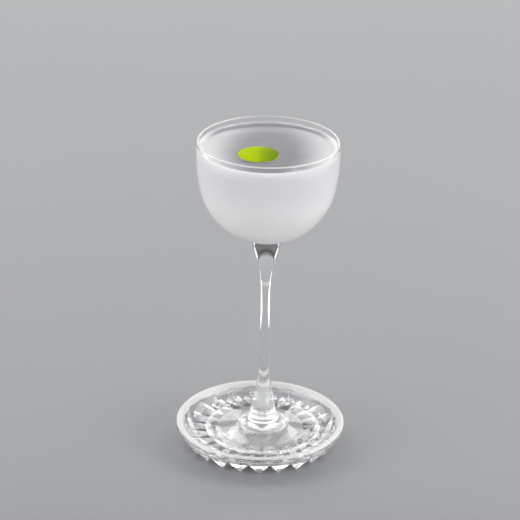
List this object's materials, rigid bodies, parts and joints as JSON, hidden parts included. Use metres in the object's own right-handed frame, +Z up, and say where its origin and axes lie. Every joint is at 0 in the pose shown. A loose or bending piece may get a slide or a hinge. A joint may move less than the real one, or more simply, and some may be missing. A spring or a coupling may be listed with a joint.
{
  "type": "daiquiri",
  "caption": "Pale daiquiri in a small stemmed glass with a floating disc of lime peel, standing in a shallow cut crystal saucer.",
  "frame": {"origin": "middle of the saucer's underside, on the table", "axes": "+Z up along the glass's stem, -Y towards the side on which the lime floats, +X to the right of someone looking along +Y"},
  "size_m": [0.0862, 0.0862, 0.1641],
  "materials": {
    "clear_glass": "polished, clear",
    "daiquiri": "wet, cloudy white",
    "lime_peel": "waxy lime skin",
    "crystal": "cut and polished crystal"
  },
  "bodies": {
    "root": {"glass": "clear_glass", "drink": "daiquiri", "lime_coin": "lime_peel", "saucer": "crystal"}
  },
  "joints": []
}
